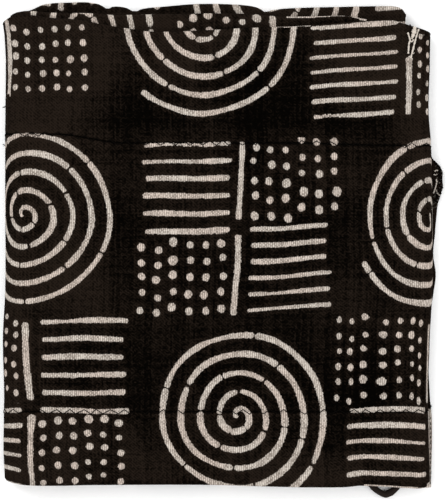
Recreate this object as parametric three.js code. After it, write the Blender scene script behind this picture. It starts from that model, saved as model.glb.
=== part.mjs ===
// Bogolan mud cloth, folded flat. Three hand-woven cotton strips are sewn edge to edge along
// their selvedges, the two long sides are turned in behind the painted face, and the bundle is
// folded twice along its length. Millimetres: X runs along the strips, Y across them, and +Z
// points up from the surface that the cloth lies on, face up.
import * as THREE from 'three';
import { mergeVertices } from 'three/addons/utils/BufferGeometryUtils.js';

// The cloth
const CLOTH_THICKNESS = 1.6;
const LAYER_PITCH = 3.2;
const STRIP_WIDTH = 215;
const SEAM_GAP = 0.3;

// The folded pack, at the middle of the cloth's thickness
const FACE_LEFT = -174.8;
const FACE_RIGHT = 167.6;
const BOTTOM_FOLD = -188.2;
const LOWER_SEAM = -129.5;
const THIRD_PANEL_END = 146.8;

// The stack gives way a little where no side is turned in behind the face
const SAG_SHARE = 0.1;
const SAG_CENTRE = 12;
const SAG_HALF_WIDTH = 120;

// Right of the third panel's end the two panels above it drop down onto the back panel
const DROP_START = 143;
const DROP_END = 162;

// The hanging loop of rolled cloth at the lower right, sewn to the back panel's fold
const LOOP_CENTRE_X = 130.4;
const LOOP_HALF_WIDTH = 11.8;
const LOOP_REACH = 7.3;
const LOOP_ROLL = 4.4;
const LOOP_HEIGHT = 3.8;
const LOOP_SEAT_GAP = 0.5;
const LOOP_STEPS = 14;

// How far up each panel's top fold reaches, along the pack's width
const TOP_FOLDS = [
  { x: -174.8, front: 180.5, second: 187.5, third: 190.0, back: 180.5 },
  { x: -160.4, front: 187.0, second: 188.5, third: 191.8, back: 186.0 },
  { x: -138.0, front: 185.8, second: 189.8, third: 197.8, back: 190.0 },
  { x: -106.0, front: 180.9, second: 189.2, third: 199.0, back: 191.0 },
  { x: -90.0, front: 179.0, second: 188.5, third: 194.6, back: 192.5 },
  { x: -70.0, front: 176.0, second: 187.9, third: 191.9, back: 193.6 },
  { x: -46.0, front: 174.1, second: 189.1, third: 195.4, back: 191.0 },
  { x: -10.0, front: 175.6, second: 189.4, third: 197.4, back: 190.0 },
  { x: 22.0, front: 177.5, second: 189.0, third: 195.8, back: 191.5 },
  { x: 46.0, front: 178.2, second: 187.0, third: 193.4, back: 192.0 },
  { x: 74.0, front: 179.5, second: 186.9, third: 195.2, back: 190.5 },
  { x: 98.0, front: 181.7, second: 187.4, third: 196.6, back: 189.0 },
  { x: 118.0, front: 183.2, second: 184.7, third: 196.3, back: 188.0 },
  { x: 134.0, front: 184.0, second: 182.8, third: 195.6, back: 185.0 },
  { x: 147.6, front: 180.3, second: 178.2, third: 189.4, back: 181.0 },
  { x: 167.6, front: 175.0, second: 173.4, third: 186.0, back: 174.0 },
];

// How far the two folded sides stand out from straight, down the pack's height
const SIDES = [
  { y: -189, left: 0.8, right: -0.8 },
  { y: -160, left: -0.6, right: -1.6 },
  { y: -120, left: -0.6, right: -2.4 },
  { y: -72, left: -1.4, right: -1.0 },
  { y: -32, left: 0.6, right: 0.8 },
  { y: 40, left: 0.6, right: 0.8 },
  { y: 80, left: 1.0, right: -0.2 },
  { y: 112, left: 1.2, right: -2.6 },
  { y: 152, left: 1.2, right: -1.2 },
  { y: 184, left: 0.4, right: 0.0 },
];

// Where the back panel's hemmed end lies, with the corner that pushes out past the right side
const BACK_END = [
  { y: -190, x: 168.6 },
  { y: -133, x: 169.4 },
  { y: -118, x: 166.5 },
  { y: -52, x: 166.0 },
  { y: -38, x: 169.0 },
  { y: -20, x: 171.4 },
  { y: -4, x: 169.4 },
  { y: 16, x: 170.2 },
  { y: 32, x: 171.6 },
  { y: 48, x: 176.2 },
  { y: 60, x: 175.4 },
  { y: 72, x: 168.6 },
  { y: 90, x: 166.0 },
  { y: 190, x: 162.0 },
];

const CLOTH_BLACK = 0x17110d;

// Sizes that follow from the ones above
const BUNDLE_PITCH = 2 * LAYER_PITCH;
const HALF_BUNDLE = LAYER_PITCH / 2;
const TURN_LENGTH = Math.PI * HALF_BUNDLE;
const BASE_LIFT = (LAYER_PITCH - CLOTH_THICKNESS) / 2;
const OUTER_TURN = 1.5 * BUNDLE_PITCH;
const INNER_TURN = 0.5 * BUNDLE_PITCH;
const FACE_OFFSET = HALF_BUNDLE + CLOTH_THICKNESS / 2;
const LEFT_CENTRE = FACE_LEFT + OUTER_TURN + FACE_OFFSET;
const RIGHT_CENTRE = FACE_RIGHT - INNER_TURN - FACE_OFFSET;
const FACE_START = BOTTOM_FOLD + HALF_BUNDLE;

// The route of the bundle, seen from its end: straight runs at a level of the stack, joined by
// half turns. up is 1 where the painted face looks up and -1 where it looks down, and a run is
// divided between its stops into the steps given.
const RUNS = {
  back: { level: 0.5, up: -1, stops: [DROP_END, LEFT_CENTRE], steps: [7] },
  front: { level: 3.5, up: 1, stops: [LEFT_CENTRE, DROP_START, RIGHT_CENTRE], steps: [14, 5] },
  second: { level: 2.5, up: -1, stops: [RIGHT_CENTRE, DROP_START, LEFT_CENTRE], steps: [5, 10] },
  third: { level: 1.5, up: 1, stops: [LEFT_CENTRE, THIRD_PANEL_END], steps: [15] },
};
const TURNS = {
  left_outer: { level: 2, x: LEFT_CENTRE, radius: OUTER_TURN, side: -1, outside: 1, steps: 9 },
  right: { level: 3, x: RIGHT_CENTRE, radius: INNER_TURN, side: 1, outside: 1, steps: 7 },
  left_inner: { level: 2, x: LEFT_CENTRE, radius: INNER_TURN, side: 1, outside: -1, steps: 7 },
};

// The strips, from the top of the face to its foot. face, turn and flap are the rows of cloth
// on the face, round the fold and on the side turned in behind.
const STRIPS = [
  { name: 'upper_strip', seams: [1, 2], face: 5, turn: 6, flap: 5, folds: 1 },
  { name: 'middle_strip', seams: [0, 1], face: 17, turn: 0, flap: 0, folds: 0 },
  { name: 'lower_strip', seams: [-1, 0], face: 4, turn: 6, flap: 6, folds: -1 },
];

const { lerp, smoothstep } = THREE.MathUtils;

// Value of one column of a table, straight between its rows
function lookUp(table, key, column, at) {
  const next = table.findIndex((row) => row[key] >= at);
  if (next <= 0) return table.at(next === 0 ? 0 : -1)[column];
  const a = table[next - 1];
  const b = table[next];
  return lerp(a[column], b[column], (at - a[key]) / (b[key] - a[key]));
}

// Stations along the route, from the back panel's hemmed end to the third panel's end
function routeStations() {
  const stations = [];
  const add = (panel, x, hemmed) => {
    const { level, up } = RUNS[panel];
    const top = lookUp(TOP_FOLDS, 'x', panel, x);
    stations.push({ x, z: level * BUNDLE_PITCH, nx: 0, nz: up, top, hemmed });
  };
  const addRun = (panel) => {
    const { stops, steps } = RUNS[panel];
    const hemmed = panel === 'back' ? 1 : 0;
    add(panel, stops[0], hemmed);
    steps.forEach((count, leg) => {
      for (let i = 1; i <= count; i += 1) {
        add(panel, lerp(stops[leg], stops[leg + 1], i / count), hemmed * (1 - i / count));
      }
    });
  };
  const addTurn = (name, before, after) => {
    const turn = TURNS[name];
    const up = RUNS[before].up;
    const reach = turn.radius * turn.outside;
    for (let i = 1; i < turn.steps; i += 1) {
      const share = i / turn.steps;
      const nx = turn.side * Math.sin(Math.PI * share);
      const nz = up * Math.cos(Math.PI * share);
      const x = turn.x + reach * nx;
      const z = turn.level * BUNDLE_PITCH + reach * nz;
      const tops = [before, after].map((panel) => lookUp(TOP_FOLDS, 'x', panel, x));
      stations.push({ x, z, nx, nz, top: lerp(tops[0], tops[1], share), hemmed: 0 });
    }
  };
  addRun('back');
  addTurn('left_outer', 'back', 'front');
  addRun('front');
  addTurn('right', 'front', 'second');
  addRun('second');
  addTurn('left_inner', 'second', 'third');
  addRun('third');
  return stations;
}

// Place across the cloth of one row of a strip, from the foot of the face upwards
function rowPlace(strip, row, faceLength) {
  const seam = LOWER_SEAM - FACE_START;
  const low = seam + strip.seams[0] * STRIP_WIDTH + SEAM_GAP / 2;
  const high = seam + strip.seams[1] * STRIP_WIDTH - SEAM_GAP / 2;
  if (strip.folds === 0) return lerp(low, high, row / strip.face);
  const upward = strip.folds > 0;
  const knots = upward
    ? [low, faceLength, faceLength + TURN_LENGTH, high]
    : [low, -TURN_LENGTH, 0, high];
  const counts = upward
    ? [strip.face, strip.turn, strip.flap]
    : [strip.flap, strip.turn, strip.face];
  let zone = 0;
  let left = row;
  while (left > counts[zone]) {
    left -= counts[zone];
    zone += 1;
  }
  return lerp(knots[zone], knots[zone + 1], left / counts[zone]);
}

// Cross-section of the bundle: the face, and the sides turned in behind it in half circles.
// depth is measured from the bundle's middle towards the painted face.
function sectionPoint(place, faceLength) {
  const faceEnd = FACE_START + faceLength;
  if (place >= 0 && place <= faceLength) {
    return { y: FACE_START + place, depth: HALF_BUNDLE, ny: 0, nd: 1 };
  }
  const side = place > 0 ? 1 : -1;
  const past = side > 0 ? place - faceLength : -place;
  const foot = side > 0 ? faceEnd : FACE_START;
  if (past < TURN_LENGTH) {
    const angle = past / HALF_BUNDLE;
    const ny = side * Math.sin(angle);
    const nd = Math.cos(angle);
    return { y: foot + HALF_BUNDLE * ny, depth: HALF_BUNDLE * nd, ny, nd };
  }
  return { y: foot - side * (past - TURN_LENGTH), depth: -HALF_BUNDLE, ny: 0, nd: -1 };
}

// The pack as it settles: sides, hemmed end, drop at the right and sag across the middle
function settle(x, y, z, station) {
  const along = (x - FACE_LEFT) / (FACE_RIGHT - FACE_LEFT);
  const share = THREE.MathUtils.clamp(along, 0, 1);
  const stretch = (lookUp(BACK_END, 'y', 'x', y) - DROP_END) * station.hemmed;
  const sides = lerp(lookUp(SIDES, 'y', 'left', y), lookUp(SIDES, 'y', 'right', y), share);
  const upper = station.z > 2 * BUNDLE_PITCH;
  const drop = upper ? BUNDLE_PITCH * smoothstep(x, DROP_START, DROP_END) : 0;
  const sag = SAG_SHARE * (1 - smoothstep(Math.abs(y - SAG_CENTRE), 0, SAG_HALF_WIDTH));
  return new THREE.Vector3(x + sides * (1 - station.hemmed) + stretch, y, (z - drop) * (1 - sag));
}

// One strip: a flat slab of cloth whose points are carried round the folds
function stripGeometry(strip, stations) {
  const columns = stations.length - 1;
  const rows = strip.face + strip.turn + strip.flap;
  const slab = new THREE.BoxGeometry(1, 1, CLOTH_THICKNESS, columns, rows, 1);
  slab.deleteAttribute('normal');
  slab.deleteAttribute('uv');
  const points = slab.attributes.position;
  for (let i = 0; i < points.count; i += 1) {
    const station = stations[Math.round((points.getX(i) + 0.5) * columns)];
    const row = Math.round((points.getY(i) + 0.5) * rows);
    const lift = points.getZ(i);
    const faceLength = station.top - CLOTH_THICKNESS / 2 - HALF_BUNDLE - FACE_START;
    const section = sectionPoint(rowPlace(strip, row, faceLength), faceLength);
    const depth = section.depth + lift * section.nd;
    const place = settle(
      station.x + station.nx * depth,
      section.y + lift * section.ny,
      station.z + station.nz * depth - BASE_LIFT,
      station,
    );
    points.setXYZ(i, place.x, place.y, place.z);
  }
  const geometry = mergeVertices(slab);
  geometry.computeVertexNormals();
  return geometry;
}

// The loop: a flattened roll of cloth bent in a half ellipse, lying flat
function loopGeometry() {
  const foot = BOTTOM_FOLD - CLOTH_THICKNESS / 2 - LOOP_SEAT_GAP;
  const route = [];
  for (let i = 0; i <= LOOP_STEPS; i += 1) {
    const angle = Math.PI * (1 + i / LOOP_STEPS);
    const x = LOOP_CENTRE_X + LOOP_HALF_WIDTH * Math.cos(angle);
    route.push(new THREE.Vector3(x, foot + LOOP_REACH * Math.sin(angle), LOOP_HEIGHT / 2));
  }
  const corners = 8;
  const round = 1 / Math.cos(Math.PI / corners);
  const outline = [];
  for (let i = 0; i < corners; i += 1) {
    const angle = (2 * Math.PI * (i + 0.5)) / corners;
    const across = (LOOP_ROLL / 2) * round * Math.cos(angle);
    outline.push(new THREE.Vector2((LOOP_HEIGHT / 2) * round * Math.sin(angle), across));
  }
  return new THREE.ExtrudeGeometry(new THREE.Shape(outline), {
    steps: LOOP_STEPS,
    extrudePath: new THREE.CatmullRomCurve3(route),
  });
}

function clothMesh(name, geometry) {
  const material = new THREE.MeshStandardMaterial({ color: CLOTH_BLACK, roughness: 0.95, metalness: 0 });
  const mesh = new THREE.Mesh(geometry, material);
  mesh.name = name;
  return mesh;
}

const mudCloth = new THREE.Group();
mudCloth.name = 'bogolan_mud_cloth';
const stations = routeStations();
for (const strip of STRIPS) mudCloth.add(clothMesh(strip.name, stripGeometry(strip, stations)));
mudCloth.add(clothMesh('hanging_loop', loopGeometry()));

export default mudCloth;
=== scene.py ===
import math

import bpy
import numpy as np
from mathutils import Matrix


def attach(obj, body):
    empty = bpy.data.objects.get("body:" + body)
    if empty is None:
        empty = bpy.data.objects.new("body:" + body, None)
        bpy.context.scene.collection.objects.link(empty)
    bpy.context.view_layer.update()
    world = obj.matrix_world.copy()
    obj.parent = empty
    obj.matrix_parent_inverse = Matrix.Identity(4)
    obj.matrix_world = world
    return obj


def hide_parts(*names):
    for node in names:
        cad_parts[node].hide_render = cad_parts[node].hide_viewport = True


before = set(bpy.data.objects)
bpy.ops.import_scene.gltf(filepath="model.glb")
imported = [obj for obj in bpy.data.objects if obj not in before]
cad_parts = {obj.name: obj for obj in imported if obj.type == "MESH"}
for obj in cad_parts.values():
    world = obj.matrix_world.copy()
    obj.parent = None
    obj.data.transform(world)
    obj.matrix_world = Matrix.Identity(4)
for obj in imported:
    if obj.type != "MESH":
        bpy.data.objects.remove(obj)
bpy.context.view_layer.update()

# The three woven strips. Hand-loomed cotton, sewn selvedge to selvedge, dyed with leaf tea and
# river mud and painted in cream spirals, stripes and dots. The long sides are turned in behind
# the painted face, and the bundle is folded twice along its length.
MM = 0.001
CLOTH_THICKNESS = 1.6
LAYER_PITCH = 3.2
STRIP_WIDTH = 215
SEAM_GAP = 0.16
FACE_LEFT = -174.8
FACE_RIGHT = 167.6
BOTTOM_FOLD = -188.2
LOWER_SEAM = -129.5
THIRD_PANEL_END = 146.8
SAG_SHARE = 0.1
SAG_CENTRE = 12
SAG_HALF_WIDTH = 120
DROP_START = 143
DROP_END = 162
BUNDLE_PITCH = 2 * LAYER_PITCH
HALF_BUNDLE = LAYER_PITCH / 2
TURN_LENGTH = math.pi * HALF_BUNDLE
BASE_LIFT = (LAYER_PITCH - CLOTH_THICKNESS) / 2
OUTER_TURN = 1.5 * BUNDLE_PITCH
INNER_TURN = 0.5 * BUNDLE_PITCH
FACE_OFFSET = HALF_BUNDLE + CLOTH_THICKNESS / 2
LEFT_CENTRE = FACE_LEFT + OUTER_TURN + FACE_OFFSET
RIGHT_CENTRE = FACE_RIGHT - INNER_TURN - FACE_OFFSET
FACE_START = BOTTOM_FOLD + HALF_BUNDLE
SEAM_PLACE = LOWER_SEAM - FACE_START

# How far up each panel's fold reaches: x along the pack, then y
TOP_FOLDS = {
    "front": [
        (-174.8, 181.0),
        (-171.0, 185.0),
        (-166.0, 187.4),
        (-160.0, 188.2),
        (-151.6, 187.8),
        (-138.8, 185.9),
        (-130.0, 185.0),
        (-120.4, 184.6),
        (-110.0, 183.6),
        (-102.0, 181.8),
        (-96.0, 180.4),
        (-87.6, 179.0),
        (-75.6, 177.0),
        (-58.0, 174.6),
        (-38.0, 174.6),
        (-10.0, 175.8),
        (22.0, 177.5),
        (46.0, 178.2),
        (74.0, 179.5),
        (98.0, 181.7),
        (118.0, 183.2),
        (134.0, 184.0),
        (147.6, 180.3),
        (167.6, 175.0),
    ],
    "second": [
        (-174.8, 184.0),
        (-168.0, 188.2),
        (-160.4, 190.8),
        (-153.0, 191.4),
        (-146.0, 190.6),
        (-138.0, 190.0),
        (-106.0, 189.4),
        (-86.0, 188.0),
        (-70.0, 188.2),
        (-46.0, 188.8),
        (-10.0, 189.4),
        (22.0, 189.0),
        (46.0, 187.0),
        (74.0, 186.9),
        (98.0, 187.4),
        (118.0, 184.7),
        (134.0, 182.8),
        (147.6, 178.2),
        (167.6, 173.4),
    ],
    "third": [
        (-174.8, 186.0),
        (-160.0, 189.4),
        (-152.0, 192.3),
        (-141.0, 197.0),
        (-122.0, 198.4),
        (-106.0, 198.6),
        (-97.5, 197.0),
        (-91.0, 193.4),
        (-86.0, 195.2),
        (-76.0, 194.2),
        (-69.0, 190.8),
        (-63.5, 193.2),
        (-50.0, 194.8),
        (-17.0, 197.2),
        (18.0, 196.2),
        (29.8, 194.0),
        (34.5, 190.8),
        (40.0, 192.2),
        (51.6, 193.6),
        (90.0, 194.8),
        (128.0, 195.4),
        (138.0, 195.2),
        (143.4, 193.6),
        (147.0, 188.6),
    ],
    "back": [
        (-174.8, 181.5),
        (-160.4, 186.0),
        (-138.0, 190.0),
        (-106.0, 191.0),
        (-90.0, 192.0),
        (-46.0, 191.0),
        (-10.0, 190.0),
        (46.0, 191.0),
        (74.0, 190.5),
        (98.0, 189.0),
        (118.0, 188.0),
        (134.0, 185.0),
        (147.6, 181.0),
        (167.6, 174.0),
    ],
}

# y up the pack, then how far the left and right sides stand out from straight
SIDES = [
    (-189, 0.8, -1.4),
    (-160, -0.6, -2.2),
    (-120, -0.6, -2.4),
    (-72, -1.4, -1.0),
    (-32, 0.6, 0.8),
    (40, 0.6, 0.8),
    (80, 1.0, -0.2),
    (112, 1.2, -2.6),
    (152, 0.9, -1.2),
    (170, -0.2, -0.6),
    (184, -1.9, 0.0),
]

# x along the pack, then how far the bottom fold stands up from straight
BOTTOM_EDGE = [
    (-176, 4.4),
    (-172, 3.4),
    (-167, 2.2),
    (-162, 1.1),
    (-155, 0.5),
    (-100, 0.7),
    (0, 0.7),
    (24, -0.1),
    (72, -1.2),
    (100, -1.0),
    (111, 0.2),
    (130, -0.5),
    (150, -1.8),
    (160, -2.2),
    (164, -1.2),
    (167, 1.2),
    (169, 3.2),
]

# y up the pack, then where the back panel's hemmed end lies
BACK_END = [
    (-190, 167.4),
    (-133, 168.0),
    (-118, 166.5),
    (-52, 166.0),
    (-38, 169.0),
    (-20, 171.4),
    (-4, 169.4),
    (16, 171.0),
    (30, 172.2),
    (37, 173.0),
    (42.2, 174.8),
    (45, 175.3),
    (49.8, 177.0),
    (55, 176.0),
    (59, 176.7),
    (62.2, 176.8),
    (65, 175.8),
    (69.4, 172.8),
    (71.6, 169.8),
    (76, 167.0),
    (90, 166.0),
    (190, 162.0),
]
# A curve through a table's rows is eased by this share, so that it doesn't swing past them
CURVE_EASE = 0.6


def soft_table(table, column, at):
    keys = np.array([row[0] for row in table], float)
    values = np.array([row[column] for row in table], float)
    slopes = np.gradient(values, keys)
    i = np.clip(np.searchsorted(keys, at) - 1, 0, len(keys) - 2)
    span = keys[i + 1] - keys[i]
    f = np.clip((at - keys[i]) / span, 0, 1)
    rise = f * f * (3 - 2 * f)
    bend = slopes[i] * f * (1 - f) ** 2 - slopes[i + 1] * f * f * (1 - f)
    return values[i] + (values[i + 1] - values[i]) * rise + CURVE_EASE * span * bend


def smooth_step(value, low, high):
    f = np.clip((value - low) / (high - low), 0, 1)
    return f * f * (3 - 2 * f)


# Each panel's level in the stack, in bundles, and the steps along each leg of the fold route
LEVELS = {"back": 0.5, "third": 1.5, "second": 2.5, "front": 3.5}
PANEL_STEPS = 56
FACE_STEPS = 150
THIRD_STEPS = 110
WRAP_STEPS = 24
FOLD_STEPS = 12
INNER_FOLD_STEPS = 10
# Stations along the folds: flat place s, x, z, the bundle's direction, fold height, hem share
station_legs = []


# A flat leg: which way its paint faces, x from and to, and s where it starts
def add_run(panel, up, start, end, steps, s_start, hem=0):
    share = np.linspace(0, 1, steps + 1)
    x = start + (end - start) * share
    s = s_start + abs(end - start) * share
    top = soft_table(TOP_FOLDS[panel], 1, x)
    flat = np.zeros_like(x)
    z = flat + LEVELS[panel] * BUNDLE_PITCH
    station_legs.append(np.stack([s, x, z, flat, flat + up, top, hem * (1 - share)]))
    return s[-1]


# A fold from panel to panel: its centre and radius, the way its paint faces halfway round, to the
# right or left, and at first, up or down, and whether the paint is outside, 1, or inside, -1
def add_turn(before, after, centre, radius, side, up, outside, steps, s_start, length):
    share = np.linspace(0, 1, steps + 1)[1:-1]
    nx = side * np.sin(math.pi * share)
    nz = up * np.cos(math.pi * share)
    level = (LEVELS[before] + LEVELS[after]) / 2
    x = centre + radius * outside * nx
    z = level * BUNDLE_PITCH + radius * outside * nz
    tops = [soft_table(TOP_FOLDS[p], 1, x) for p in (before, after)]
    top = tops[0] + (tops[1] - tops[0]) * share
    station_legs.append(np.stack([s_start + length * share, x, z, nx, nz, top, 0 * x]))
    return s_start + length


OUTER_ARC = math.pi * (OUTER_TURN + FACE_OFFSET)
RIGHT_ARC = math.pi * (INNER_TURN + FACE_OFFSET)
INNER_ARC = math.pi * INNER_TURN
CLOTH_END = LEFT_CENTRE - OUTER_ARC - (DROP_END - LEFT_CENTRE)
s_now = add_run("back", -1, DROP_END, LEFT_CENTRE, PANEL_STEPS, CLOTH_END, hem=1)
s_now = add_turn(
    "back", "front", LEFT_CENTRE, OUTER_TURN, -1, -1, 1, WRAP_STEPS, s_now, OUTER_ARC
)
s_now = add_run("front", 1, LEFT_CENTRE, RIGHT_CENTRE, FACE_STEPS, s_now)
SECOND_START = add_turn(
    "front", "second", RIGHT_CENTRE, INNER_TURN, 1, 1, 1, FOLD_STEPS, s_now, RIGHT_ARC
)
s_now = add_run("second", -1, RIGHT_CENTRE, LEFT_CENTRE, PANEL_STEPS, SECOND_START)
THIRD_START = add_turn(
    "second", "third", LEFT_CENTRE, INNER_TURN, 1, -1, -1, INNER_FOLD_STEPS, s_now, INNER_ARC
)
add_run("third", 1, LEFT_CENTRE, THIRD_PANEL_END, THIRD_STEPS, THIRD_START)
stations = np.concatenate(station_legs, axis=1)

# Creases of the face, from one s and t to another, with half the width and the height: the pleat
# at the upper right, slack below the top folds, along the upper seam, above the loop, at the lower
# left and beside the right spiral
CREASES = [
    (150.0, 190.0, 150.4, 156.0, 2.6, -1.3),
    (144.6, 190.0, 146.0, 158.0, 2.4, 0.5),
    (-78.0, 180.0, -64.0, 138.0, 6.0, 0.5),
    (56.0, 184.0, 50.0, 142.0, 7.0, -0.45),
    (-136.0, 100.0, -64.0, 80.0, 4.5, -0.4),
    (112.0, -192.0, 152.0, -158.0, 7.0, 0.6),
    (-128.0, -192.0, -112.0, -150.0, 7.0, 0.4),
    (92.0, 66.0, 126.0, -66.0, 9.0, -0.4),
]
CREASE_FADE = 0.7
# The upper seam wanders: how far it rises at the left and dips at the right, and s from and to
SEAM_RISE = (7.0, -136.0, -78.0)
SEAM_DIP = (2.0, 60.0, 130.0)
# Broad swells: height, and how fast they change in s and in t, as lengths
SWELL_ALONG = (0.3, 31, 47)
SWELL_ACROSS = (0.25, 71, 23)
SWELL_BEND = 1.3
# A seam is sunk by a depth over half a width, and puckers by a height, half width and length
SEAM_SINK = (0.45, 2.2)
SEAM_PUCKER = (0.3, 6, 1.9)
PUCKER_DRIFT = (2, 37)


def seam_drift(s):
    rise = SEAM_RISE[0] * (1 - smooth_step(s, *SEAM_RISE[1:]))
    return rise - SEAM_DIP[0] * smooth_step(s, *SEAM_DIP[1:])


# Low unevenness of the laid cloth: broad swells, creases, and puckers drawn in by the two seams
def relief(s, t):
    swell, length_s, length_t = SWELL_ALONG
    height = swell * np.sin(s / length_s + SWELL_BEND * np.sin(t / length_t))
    swell, length_s, length_t = SWELL_ACROSS
    height = height + swell * np.sin(t / length_t + s / length_s)
    for s_from, t_from, s_to, t_to, half_width, rise in CREASES:
        run_s, run_t = s_to - s_from, t_to - t_from
        share = ((s - s_from) * run_s + (t - t_from) * run_t) / (run_s**2 + run_t**2)
        share = np.clip(share, 0, 1)
        off = np.hypot(s - s_from - share * run_s, t - t_from - share * run_t)
        height = height + rise * np.exp(-((off / half_width) ** 2)) * (1 - CREASE_FADE * share)
    sink, sink_half = SEAM_SINK
    pucker, pucker_half, pucker_length = SEAM_PUCKER
    waves = np.sin(s / pucker_length + PUCKER_DRIFT[0] * np.sin(s / PUCKER_DRIFT[1]))
    for seam in (LOWER_SEAM, LOWER_SEAM + STRIP_WIDTH + seam_drift(s)):
        off = t - seam
        height = height - sink * np.exp(-((off / sink_half) ** 2))
        height = height + pucker * np.exp(-((off / pucker_half) ** 2)) * waves
    return height


# The hem's corner that is bunched up at the right side, from this share of the hem outwards
LUMP_HEIGHT = 4.0
LUMP_Y = 53
LUMP_HALF = 13
LUMP_HEM = 0.96
# How much of the unevenness the turned-in sides have, and how far up the bottom edge is uneven
TURNED_IN_RELIEF = 0.25
FOOT_REACH = 60


# A point of the cloth: s along it, place across it, lift off its middle towards the paint
def lay(s, place, lift):
    x, z, nx, nz, top, hem = (np.interp(s, stations[0], row) for row in stations[1:])
    face_length = top - CLOTH_THICKNESS / 2 - HALF_BUNDLE - FACE_START
    side = np.where(place > face_length, 1.0, np.where(place < 0, -1.0, 0.0))
    past = np.where(side > 0, place - face_length, np.where(side < 0, -place, 0.0))
    foot = np.where(side > 0, FACE_START + face_length, FACE_START)
    angle = np.clip(past / HALF_BUNDLE, 0, math.pi)
    ny = side * np.sin(angle)
    nd = np.cos(angle)
    beyond = np.clip(past - TURN_LENGTH, 0, None)
    y = np.where(side == 0, FACE_START + place, foot + HALF_BUNDLE * ny - side * beyond)
    upper = np.clip(z / BUNDLE_PITCH - 0.5, 0, 1)
    relief_share = TURNED_IN_RELIEF + (1 - TURNED_IN_RELIEF) * (side == 0)
    lift = lift + relief(s, FACE_START + place) * upper * relief_share
    depth = HALF_BUNDLE * nd + lift * nd
    px = x + nx * depth
    py = y + lift * ny
    pz = z + nz * depth - BASE_LIFT
    share = np.clip((px - FACE_LEFT) / (FACE_RIGHT - FACE_LEFT), 0, 1)
    left = soft_table(SIDES, 1, py)
    right = soft_table(SIDES, 2, py)
    stretch = (soft_table(BACK_END, 1, py) - DROP_END) * hem
    drop = np.where(z > 2 * BUNDLE_PITCH, BUNDLE_PITCH * smooth_step(px, DROP_START, DROP_END), 0)
    sag = SAG_SHARE * (1 - smooth_step(np.abs(py - SAG_CENTRE), 0, SAG_HALF_WIDTH))
    foot_share = 1 - smooth_step(py, BOTTOM_FOLD, BOTTOM_FOLD + FOOT_REACH)
    py = py + soft_table(BOTTOM_EDGE, 1, px) * foot_share
    px = px + (left + (right - left) * share) * (1 - hem) + stretch
    lump = LUMP_HEIGHT * np.exp(-(((py - LUMP_Y) / LUMP_HALF) ** 2))
    lump = lump * smooth_step(hem, LUMP_HEM, 1.0)
    return np.stack([px, py, (pz - drop) * (1 - sag) + lump], axis=-1)


# Where x is 0 on the second and the third panel, as a place s along the cloth
SECOND_MIDDLE = SECOND_START + RIGHT_CENTRE
THIRD_MIDDLE = THIRD_START - LEFT_CENTRE
# The painted marks: alternate spirals and crosses, each at its own s and t. A kind from 0 to
# CROSS_FROM is a spiral whose tail is that much shorter, in turns. Kind 1 is a cross with stripes at
# its upper left and -1 one with them at its upper right; 2 and -2 have a stripe and dot column more.
CROSS_FROM = 0.5
MOTIFS = {
    "top_left_cross": (-172.7, 190.2, -1),
    "top_spiral": (-13.2, 179.8, 0),
    "top_right_cross": (150.0, 178.0, -2),
    "left_spiral": (-159.6, 27.8, 0),
    "middle_cross": (12.9, 17.4, 1),
    "right_spiral": (165.2, 27.0, 0.35),
    "low_left_cross": (-154.0, -126.6, -1),
    "low_spiral": (14.0, -133.0, 0.12),
    "low_right_cross": (165.4, -129.0, -2),
    "second_cross": (SECOND_MIDDLE - 41.2, 182.0, 1),
    "second_spiral": (SECOND_MIDDLE + 112.9, 200.6, 0),
}
# How a quarter of a cross differs from the usual one: stretch and shift outwards across, stretch
# and shift outwards up or down, and the lean and bow of its stripes
QUARTER_FITS = [
    ("top_left_cross", (1, -1), 1.155, 5.4, 0.985, -1.6, 0.0, 0.0),
    ("top_right_cross", (-1, -1), 1.0, -3.0, 1.144, 0.6, -0.08, 0.0),
    ("top_right_cross", (1, -1), 1.7, -3.0, 1.08, 1.2, 0.0, 0.0),
    ("middle_cross", (-1, 1), 0.97, 0.0, 0.977, 1.0, 0.016, 0.0),
    ("middle_cross", (1, 1), 1.0, 0.0, 0.853, 1.1, 0.0, 0.0),
    ("middle_cross", (-1, -1), 1.016, -2.7, 0.89, -0.8, 0.0, 0.0),
    ("middle_cross", (1, -1), 1.07, -1.6, 1.051, -0.4, 0.07, 0.0),
    ("low_left_cross", (-1, 1), 1.43, -3.3, 1.0, 0.0, 0.0, 0.0),
    ("low_left_cross", (1, 1), 1.0, -3.2, 0.948, 0.5, 0.0, 0.0),
    ("low_left_cross", (-1, -1), 1.0, 0.0, 1.104, -3.2, 0.0, 0.0),
    ("low_left_cross", (1, -1), 1.06, 0.0, 1.0, 1.3, 0.0, 0.0),
    ("low_right_cross", (-1, 1), 1.0, 0.0, 0.935, 1.2, 0.0, 0.0),
    ("low_right_cross", (-1, -1), 1.06, 6.5, 1.071, -1.2, -0.02, 1.6),
]
# A striped quarter reaches past the cross's middle by a margin. Its stripes lean and bow about their
# own middle, over half their length.
STRIPE_MARGIN = 5.0
STRIPE_MIDDLE = 40
STRIPE_HALF = 35
# The lower right cross's dot columns draw together towards the fold: place, then usual place
EDGE_QUARTER = ("low_right_cross", (-1, 1))
EDGE_COLUMNS = [
    (0.0, 3.0),
    (6.0, 11.6),
    (12.0, 24.6),
    (23.2, 37.6),
    (34.4, 50.6),
    (51.2, 63.6),
    (61.6, 76.6),
    (72.0, 89.6),
    (88.0, 109.0),
]
# How each cross's bars stand: shift across, lean of the upper and lower bar, width beside the
# usual one, and how far from the middle they start; then the usual start and end of a bar
BAR_FITS = [
    ("top_right_cross", 0.0, 0.0, 0.0, 1.0, 24.6),
    ("middle_cross", -0.8, 0.035, 0.05, 1.05, 6.2),
    ("low_left_cross", 1.2, -0.068, -0.01, 1.06, 6.2),
    ("low_right_cross", 1.8, 0.0, 0.0, 0.5, 6.2),
]
BAR_REACH = (6.2, 69.5)
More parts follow.
